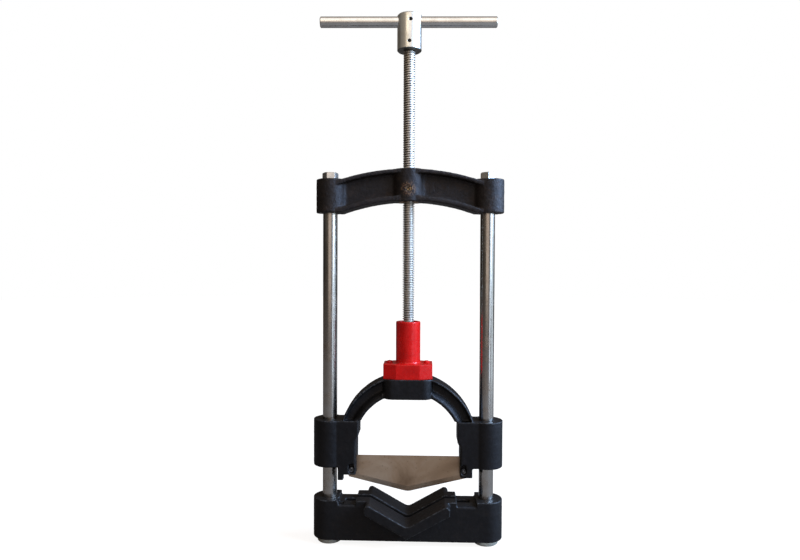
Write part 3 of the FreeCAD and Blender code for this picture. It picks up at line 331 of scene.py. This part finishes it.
MATERIALS = {
    "base_casting": black_casting(
        "base_black", dark=(0.0024, 0.0022, 0.0021), light=(0.0058, 0.0053, 0.0049),
        dust=(0.0080, 0.0056, 0.0040), gloss=(0.44, 0.60), grain=0.35,
        edge_colour=(0.07, 0.068, 0.066)),
    "crossbeam": black_casting(
        "beam_black", dark=(0.0062, 0.0046, 0.0039), light=(0.0150, 0.0112, 0.0095),
        dust=(0.027, 0.0165, 0.011), gloss=(0.46, 0.62), grain=0.95,
        edge_colour=(0.05, 0.045, 0.042), rusty_at=LOCK_SCREW),
    "yoke_casting": black_casting(
        "yoke_black", dark=(0.0018, 0.0017, 0.0017), light=(0.0040, 0.0038, 0.0037),
        dust=(0.0052, 0.0036, 0.0030), gloss=(0.44, 0.60), grain=0.30,
        edge_colour=(0.065, 0.062, 0.06)),
    "coupling_housing": red_enamel("coupling_red"),
    "blade": blade_steel("blade_steel"),
    "lead_screw": steel("screw_steel", (0.64, 0.60, 0.56), (0.46, 0.40, 0.33), (0.38, 0.52),
                        groove=THREAD_GROOVE),
    "handle_hub": steel("hub_steel", (0.73, 0.72, 0.68), (0.62, 0.59, 0.53), (0.26, 0.38),
                        edge=WIDE_BEVEL, shaded_below=HUB_BOTTOM),
    "tommy_bar": steel("bar_steel", (0.74, 0.73, 0.70), (0.60, 0.58, 0.54), (0.12, 0.20),
                       axis="X", edge=WIDE_BEVEL),
    "nut_bush": bronze("nut_bronze"),
    "nut_lock_screw": rusty_screw("lock_screw_rust"),
    "thrust_washer": bronze("washer_bronze"),
    "guide_rod_left": steel("rod_steel_left", (0.50, 0.475, 0.445), (0.41, 0.355, 0.30),
                            (0.16, 0.26)),
    "guide_rod_right": steel("rod_steel_right", (0.49, 0.465, 0.435), (0.40, 0.35, 0.30),
                             (0.16, 0.26)),
    "retaining_collar": steel("collar_steel", (0.58, 0.57, 0.55), (0.45, 0.42, 0.38),
                              (0.25, 0.38), edge=0.5 * MM),
}
# near-black pins: painted shade, the dark of the holes they sit in
for pin in ("collar_pin", "hub_pin_lower", "hub_pin_upper"):
    MATERIALS[pin] = dark_oxide(pin + "_steel", (0.006, 0.006, 0.006), (0.03, 0.03, 0.03))
for side in ("left", "right"):
    MATERIALS["foot_disc_" + side] = zinc("foot_zinc_" + side, (0.72, 0.75, 0.70), (0.30, 0.46))
    MATERIALS["foot_screw_" + side] = zinc("foot_screw_zinc_" + side, (0.55, 0.56, 0.54), (0.25, 0.4))
    MATERIALS["top_bolt_" + side] = zinc("bolt_zinc_" + side, (0.74, 0.73, 0.70), (0.22, 0.36))
    MATERIALS["blade_screw_" + side] = dark_oxide("blade_screw_" + side + "_steel")
    MATERIALS["flange_screw_" + side] = red_enamel("flange_screw_red_" + side)

for node, thing in NODES.items():
    if thing.material_slots:
        for holder in thing.material_slots:
            holder.material = MATERIALS[node]
    else:
        thing.data.materials.append(MATERIALS[node])


# ---------------------------------------------------------------- pieces

def add_object(name, mesh):
    thing = bpy.data.objects.new(name, mesh)
    bpy.context.scene.collection.objects.link(thing)
    return thing


def dress(thing, material):
    thing.data.materials.clear()
    thing.data.materials.append(material)


def place_piece(piece, node, body):
    """Carry the piece on its body, in place of the CAD node's own looks."""
    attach(piece, body)
    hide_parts(node)


def rising(value, start, width):
    """0 below start, 1 from start + width on."""
    return np.clip((value - start) / width, 0, 1)


def falling(value, end, width):
    """1 up to end - width, 0 above end."""
    return np.clip((end - value) / width, 0, 1)


RELAX_STEP = 0.5                    # share of the way to the neighbours' mean, each round
WELD = 0.002 * MM                   # joins the split points of the CAD's faces
BORE_PLAY = 0.15 * MM
CAST_VOXEL, FINE_VOXEL = 1.1 * MM, 0.7 * MM
SWELL_FALLOFF, SWELL_GAP, SWELL_LAYERS = 0.6, 2.0, 3


def apply_modifiers(thing):
    bpy.context.view_layer.update()
    graph = bpy.context.evaluated_depsgraph_get()
    mesh = bpy.data.meshes.new_from_object(thing.evaluated_get(graph))
    thing.modifiers.clear()
    thing.data = mesh


def remeshed(node, voxel):
    """The CAD node as a new object with one dense, even mesh."""
    mesh = NODES[node].data.copy()
    solid = bmesh.new()
    solid.from_mesh(mesh)
    bmesh.ops.remove_doubles(solid, verts=solid.verts, dist=WELD)
    solid.to_mesh(mesh)
    solid.free()
    piece = add_object(node + "_cast", mesh)
    remesh = piece.modifiers.new("skin", "REMESH")
    remesh.mode = "VOXEL"
    remesh.voxel_size = voxel
    apply_modifiers(piece)
    return piece


def read_points(collection, field, width, kind):
    values = np.empty(len(collection) * width, kind)
    collection.foreach_get(field, values)
    return values.reshape(-1, width)


def relax(points, edges, weight, rounds):
    """Pull each point towards the mean of its neighbours: rounds edges off and fills corners."""
    count = len(points)
    first, second = edges[:, 0], edges[:, 1]
    degree = np.bincount(first, minlength=count) + np.bincount(second, minlength=count)
    degree = np.maximum(degree, 1)[:, None]
    for _ in range(rounds):
        total = np.empty_like(points)
        for axis in range(3):
            total[:, axis] = (np.bincount(first, points[second, axis], count)
                              + np.bincount(second, points[first, axis], count))
        points = points + (total / degree - points) * weight[:, None] * RELAX_STEP
    return points


def clear_bore(points, centre_x, centre_y, radius):
    """Push the points of an upright bore's wall out to its round shape."""
    centre = np.array([centre_x, centre_y])
    offset = points[:, :2] - centre
    distance = np.hypot(offset[:, 0], offset[:, 1])
    inside = distance < radius + BORE_PLAY
    share = (radius + BORE_PLAY) / np.maximum(distance[inside], 1e-6)
    points[inside, :2] = centre + offset[inside] * share[:, None]


def cast_piece(node, voxel, rounds, swell, swell_size, bores=(), scoop=None, soft_zone=None, soft_rounds=0):
    """A casting in fine mesh: the CAD shape with rounded edges, filled corners and an uneven skin.

    bores are (x, y, radius) kept round, scoop(points) reshapes the points, and soft_zone(points)
    gives 0..1 where the corners are filled more."""
    piece = remeshed(node, voxel)
    mesh = piece.data
    points = read_points(mesh.vertices, "co", 3, float)
    edges = read_points(mesh.edges, "vertices", 2, np.int64)
    points = relax(points, edges, np.ones(len(points)), rounds)
    if scoop:
        points = scoop(points)
    if soft_zone:
        points = relax(points, edges, soft_zone(points), soft_rounds)
    mesh.vertices.foreach_set("co", points.ravel())
    mesh.update()
    normals = read_points(mesh.vertices, "normal", 3, float)
    lift = np.array([noise.fractal(Vector(p) / swell_size, SWELL_FALLOFF, SWELL_GAP, SWELL_LAYERS)
                     for p in points])
    points = points + normals * (lift * swell)[:, None]
    for bore in bores:
        clear_bore(points, *bore)
    mesh.vertices.foreach_set("co", points.ravel())
    mesh.polygons.foreach_set("use_smooth", np.ones(len(mesh.polygons), bool))
    mesh.update()
    dress(piece, MATERIALS[node])
    return piece


ROD_LOW, ROD_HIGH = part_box("guide_rod_right")
ROD_X = (ROD_LOW.x + ROD_HIGH.x) / 2
ROD_R = (ROD_HIGH.x - ROD_LOW.x) / 2
ROD_HOLES = [(-ROD_X, 0.0, ROD_R), (ROD_X, 0.0, ROD_R)]

MIDDLE_BOSS_EDGE, END_BOSS_EDGE = 20 * MM, 114 * MM
ARCH_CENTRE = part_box("yoke_casting")[0].z + 59.0 * MM
ARCH_FOOT = ARCH_CENTRE + 43.6 * MM     # just above the tops of the yoke's bosses
ARCH_HEAD = 43.3 * MM                   # just beside the head
ARCH_HALF_DEPTH, ARCH_HALF_WEB = 23.0 * MM, 13.0 * MM
ARCH_BEAD, ARCH_SLOPE, ARCH_RIM = 94.0 * MM, 13.0 * MM, 114.5 * MM
ARCH_SOFT_FROM, ARCH_SOFT_TO = 93.0 * MM, 118.0 * MM


def beam_channel(points):
    """The channels of the crossbeam, between the end bosses and the middle one."""
    reach = np.abs(points[:, 0])
    return rising(reach, MIDDLE_BOSS_EDGE, 6 * MM) * falling(reach, END_BOSS_EDGE, 6 * MM)


def arch_arms(points):
    """0..1 on the arms of the yoke's arch, between the head and the bosses."""
    return rising(np.abs(points[:, 0]), ARCH_HEAD, 3 * MM) * rising(points[:, 2], ARCH_FOOT, 3 * MM)


def arch_radius(points):
    return np.hypot(points[:, 0], points[:, 2] - ARCH_CENTRE)


def arch_channel(points):
    """The channels in the yoke's arch, but not the arch's outline."""
    radius = arch_radius(points)
    across = rising(radius, ARCH_SOFT_FROM, 2.0 * MM) * falling(radius, ARCH_SOFT_TO, 2.5 * MM)
    return across * arch_arms(points)


def arch_scoop(points):
    """The inner side of the channels slopes gently from the arch's inner bead down to the web."""
    radius = arch_radius(points)
    arms = arch_arms(points)
    slope = rising(radius, ARCH_BEAD, ARCH_SLOPE)
    slope = slope * slope * (3 - 2 * slope)
    depth = ARCH_HALF_DEPTH - (ARCH_HALF_DEPTH - ARCH_HALF_WEB) * slope * arms
    depth[(arms <= 0) | (radius > ARCH_RIM)] = np.inf
    points = points.copy()
    points[:, 1] = np.clip(points[:, 1], -depth, depth)
    return points


base = cast_piece("base_casting", CAST_VOXEL, 2, 0.16 * MM, 9 * MM, ROD_HOLES)
place_piece(base, "base_casting", "frame")
beam = cast_piece("crossbeam", CAST_VOXEL, 3, 0.28 * MM, 6 * MM, ROD_HOLES,
                  soft_zone=beam_channel, soft_rounds=9)
place_piece(beam, "crossbeam", "frame")
yoke = cast_piece("yoke_casting", CAST_VOXEL, 2, 0.16 * MM, 9 * MM, ROD_HOLES,
                  scoop=arch_scoop, soft_zone=arch_channel, soft_rounds=8)
place_piece(yoke, "yoke_casting", "yoke")
coupling = cast_piece("coupling_housing", FINE_VOXEL, 2, 0.07 * MM, 7 * MM)
place_piece(coupling, "coupling_housing", "yoke")


# ---------------------------------------------------------------- the screw's thread

FLANK_ANGLE = math.radians(15)
CHAMFER = 1.0 * MM
PITCH = 4 * MM
SHANK = 40 * MM                     # plain length at the screw's lower end
THREAD_PLAY, THREAD_DEPTH = 0.02 * MM, 2.25 * MM
THREAD_STEPS = 36


def ring(mesh, level, radius, steps):
    """Points round the axis, or the single point on it when the radius is 0."""
    if radius == 0.0:
        return [mesh.verts.new((0, 0, level))]
    angles = [2 * math.pi * k / steps for k in range(steps)]
    return [mesh.verts.new((radius * math.cos(a), radius * math.sin(a), level)) for a in angles]


def join_rings(mesh, lower, upper, steps):
    for k in range(steps):
        corners = [lower[k % len(lower)], lower[(k + 1) % len(lower)],
                   upper[(k + 1) % len(upper)], upper[k % len(upper)]]
        unique = list(dict.fromkeys(corners))
        if len(unique) > 2:
            mesh.faces.new(unique)


def thread_mesh(name, low, high, plain_to, pitch, crest, root, steps):
    """Right-hand trapezoidal thread from plain_to to high, on a plain shank below it."""
    flank = (crest - root) * math.tan(FLANK_ANGLE)
    flat = (pitch - 2 * flank) / 2
    profile = [(0.0, root), (flat, root), (flat + flank, crest), (2 * flat + flank, crest)]
    turns = int((high - plain_to) / pitch) + 2
    mesh = bmesh.new()
    rows = []
    for index in range(turns * steps + 1):
        angle = 2 * math.pi * index / steps
        rise = plain_to - pitch + pitch * index / steps
        row = []
        for offset, radius in profile:
            level = rise + offset
            if level < plain_to:
                level, radius = plain_to, root
            if level > high:
                level, radius = high, root
            row.append(mesh.verts.new((radius * math.cos(angle), radius * math.sin(angle), level)))
        rows.append(row)
    for index in range(turns * steps):
        lower, following = rows[index], rows[index + 1]
        for place in range(len(profile) - 1):
            mesh.faces.new((lower[place], following[place], following[place + 1], lower[place + 1]))
        above = index + steps
        if above + 1 < len(rows):
            mesh.faces.new((lower[-1], following[-1], rows[above + 1][0], rows[above][0]))
    shank = [(low, 0.0), (low, crest - CHAMFER), (low + CHAMFER, crest), (plain_to, crest), (plain_to, 0.0)]
    top = [(high, root), (high, 0.0)]
    for outline in (shank, top):
        rings = [ring(mesh, level, radius, steps) for level, radius in outline]
        for lower, upper in zip(rings, rings[1:]):
            join_rings(mesh, lower, upper, steps)
    bmesh.ops.remove_doubles(mesh, verts=mesh.verts, dist=0.005 * MM)
    bmesh.ops.dissolve_degenerate(mesh, edges=mesh.edges, dist=0.001 * MM)
    bmesh.ops.recalc_face_normals(mesh, faces=mesh.faces)
    data = bpy.data.meshes.new(name)
    mesh.to_mesh(data)
    mesh.free()
    return data


SCREW_LOW, SCREW_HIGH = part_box("lead_screw")
SCREW_R = (SCREW_HIGH.x - SCREW_LOW.x) / 2
thread = add_object("screw_thread", thread_mesh(
    "screw_thread", SCREW_LOW.z, SCREW_HIGH.z, SCREW_LOW.z + SHANK, PITCH,
    SCREW_R - THREAD_PLAY, SCREW_R - THREAD_DEPTH, THREAD_STEPS))
dress(thread, MATERIALS["lead_screw"])
place_piece(thread, "lead_screw", "screw")


# ---------------------------------------------------------------- stage

PAPER_SEEN = 0.90                       # how bright the camera sees the floor near the object
PAPER_LIT = (0.185, 0.150, 0.120)       # how much of the light the floor gives back
PAPER_NEAR, PAPER_FAR = 0.6, 3.0        # between them the floor fades to the white behind it
FLOOR_RADIUS, FLOOR_DROP = 9.0, 0.3 * MM


def stage_material(name, seen, lit):
    """Seen by the camera as near-white paper with soft shadows; dimmer as a light source."""
    material = bpy.data.materials.new(name)
    material.use_nodes = True
    tree = material.node_tree
    bsdf = tree.nodes["Principled BSDF"]
    feed(tree, bsdf, "Base Color", lit)
    feed(tree, bsdf, "Roughness", 0.9)
    feed(tree, bsdf, "Specular IOR Level", 0.1)
    length = tree.nodes.new("ShaderNodeVectorMath")
    length.operation = "LENGTH"
    feed(tree, length, 0, tree.nodes.new("ShaderNodeTexCoord").outputs["Object"])
    fade = tree.nodes.new("ShaderNodeMapRange")
    fade.interpolation_type = "SMOOTHSTEP"
    feed(tree, fade, "Value", length.outputs["Value"])
    feed(tree, fade, "From Min", PAPER_NEAR)
    feed(tree, fade, "From Max", PAPER_FAR)
    feed(tree, fade, "To Min", seen)
    feed(tree, fade, "To Max", 1.0)
    scale = tree.nodes.new("ShaderNodeMath")
    scale.operation = "MULTIPLY"
    feed(tree, scale, 0, tree.nodes.new("ShaderNodeLightPath").outputs["Is Camera Ray"])
    feed(tree, scale, 1, fade.outputs["Result"])
    glow = tree.nodes.new("ShaderNodeEmission")
    feed(tree, glow, "Color", WHITE)
    feed(tree, glow, "Strength", scale.outputs["Value"])
    total = tree.nodes.new("ShaderNodeAddShader")
    feed(tree, total, 0, bsdf.outputs["BSDF"])
    feed(tree, total, 1, glow.outputs["Emission"])
    feed(tree, tree.nodes["Material Output"], "Surface", total.outputs["Shader"])
    return material


def make_floor():
    mesh = bmesh.new()
    bmesh.ops.create_circle(mesh, cap_ends=True, cap_tris=False, segments=96, radius=FLOOR_RADIUS)
    data = bpy.data.meshes.new("floor")
    mesh.to_mesh(data)
    mesh.free()
    floor = add_object("floor", data)
    floor.location.z = -FLOOR_DROP
    floor.data.materials.append(stage_material("floor_paper", PAPER_SEEN, PAPER_LIT))


def make_world():
    """White to the camera; as light, a dim warm room that is brighter overhead and to the right."""
    world = bpy.data.worlds.new("studio")
    bpy.context.scene.world = world
    world.use_nodes = True
    tree = world.node_tree
    split = tree.nodes.new("ShaderNodeSeparateXYZ")
    feed(tree, split, "Vector", tree.nodes.new("ShaderNodeTexCoord").outputs["Generated"])

    def spread(axis, stops):
        """A ramp over the direction's part along the axis, -1 at position 0 and 1 at position 1."""
        node = tree.nodes.new("ShaderNodeMapRange")
        feed(tree, node, "From Min", -1.0)
        feed(tree, node, "Value", split.outputs[axis])
        return ramp_node(tree, node.outputs["Result"], stops)

    across = spread("X", [(0.0, (0.050, 0.047, 0.042)), (0.30, (0.11, 0.090, 0.070)),
                          (0.62, (0.15, 0.120, 0.100)), (1.0, (0.30, 0.33, 0.38))])
    up = spread("Z", [(0.0, (0.35, 0.33, 0.31)), (0.42, (0.7, 0.68, 0.66)), (0.53, WHITE),
                      (0.66, (4.5, 4.5, 4.4)), (1.0, (3.5, 3.5, 3.5))])
    back = spread("Y", [(0.0, WHITE), (0.48, WHITE),
                        (0.62, (0.35, 0.36, 0.38)), (1.0, (0.35, 0.36, 0.38))])
    room = mix_node(tree, 1.0, mix_node(tree, 1.0, across, up, "MULTIPLY"), back, "MULTIPLY")
    by_camera = tree.nodes.new("ShaderNodeLightPath").outputs["Is Camera Ray"]
    feed(tree, tree.nodes["Background"], "Color", mix_node(tree, by_camera, room, WHITE))


def make_light(name, place, target, wide, tall, radiance, colour):
    """Soft rectangle of the given radiance at place, facing target."""
    lamp = bpy.data.lights.new(name, "AREA")
    lamp.shape = "RECTANGLE"
    lamp.size, lamp.size_y = wide, tall
    lamp.energy = radiance * math.pi * wide * tall
    lamp.color = colour
    thing = add_object(name, lamp)
    thing.location = place
    aim = Vector(target) - Vector(place)
    thing.rotation_euler = aim.to_track_quat("-Z", "Y").to_euler()
    thing.visible_camera = False


def make_window(name, azimuth, distance, low, high, wide, radiance, colour):
    """Upright panel round the object: azimuth 0 is the front (-Y), 90 the right (+X)."""
    angle = math.radians(azimuth)
    middle = (low + high) / 2
    place = (math.sin(angle) * distance, -math.cos(angle) * distance, middle)
    make_light(name, place, (0.0, 0.0, middle), wide, high - low, radiance, colour)


CAMERA_PLACE = (0.02381, -1.09912, 0.47905)
CAMERA_YAW, CAMERA_PITCH, CAMERA_ROLL = (math.radians(v) for v in (-2.0013, 1.2581, 0.2362))


def make_camera():
    """Yaw to the right, pitch down and roll to the left are positive."""
    data = bpy.data.cameras.new("camera")
    data.sensor_width = 36.0
    data.lens = 28.556
    data.clip_start, data.clip_end = 0.01, 50.0
    camera = add_object("camera", data)
    level = math.cos(CAMERA_PITCH)
    forward = Vector((math.sin(CAMERA_YAW) * level, math.cos(CAMERA_YAW) * level, -math.sin(CAMERA_PITCH)))
    right = Vector((math.cos(CAMERA_YAW), -math.sin(CAMERA_YAW), 0.0))
    up = right.cross(forward)
    right, up = (math.cos(CAMERA_ROLL) * right + math.sin(CAMERA_ROLL) * up,
                 -math.sin(CAMERA_ROLL) * right + math.cos(CAMERA_ROLL) * up)
    turn = Matrix((right, up, -forward)).transposed()
    camera.matrix_world = Matrix.Translation(CAMERA_PLACE) @ turn.to_4x4()
    bpy.context.scene.camera = camera


make_floor()
make_world()
# name, azimuth, distance, bottom, top, width, radiance, colour
make_window("sky_right", 80, 3.0, 1.10, 3.20, 2.6, 33.0, (0.42, 0.64, 1.0))
make_window("wall_front_right", 59, 1.6, 0.42, 0.95, 0.62, 3.9, (0.66, 0.83, 1.0))
make_window("wall_low_right", 46, 1.6, 0.0, 0.42, 0.45, 1.9, (0.70, 0.84, 1.0))
make_window("wall_right", 88, 1.6, 0.0, 0.95, 0.9, 1.1, (0.72, 0.88, 1.0))
make_window("room_front", -2, 2.3, 0.25, 1.15, 1.8, 0.66, (1.0, 0.86, 0.76))
make_window("room_high", 4, 2.3, 1.22, 3.2, 1.5, 0.92, (1.0, 0.98, 0.93))
# name, place, target, width, height, radiance, colour
make_light("lamp_front", (-0.62, -1.70, 1.62), (0, 0, 0.6), 0.50, 0.45, 2.6, (1.0, 0.88, 0.68))
make_light("top", (0.1, -0.72, 2.0), (0.1, -0.62, 0.5), 1.4, 1.15, 0.9, (0.96, 0.98, 1.0))
make_camera()
bpy.context.scene.view_settings.view_transform = "Standard"
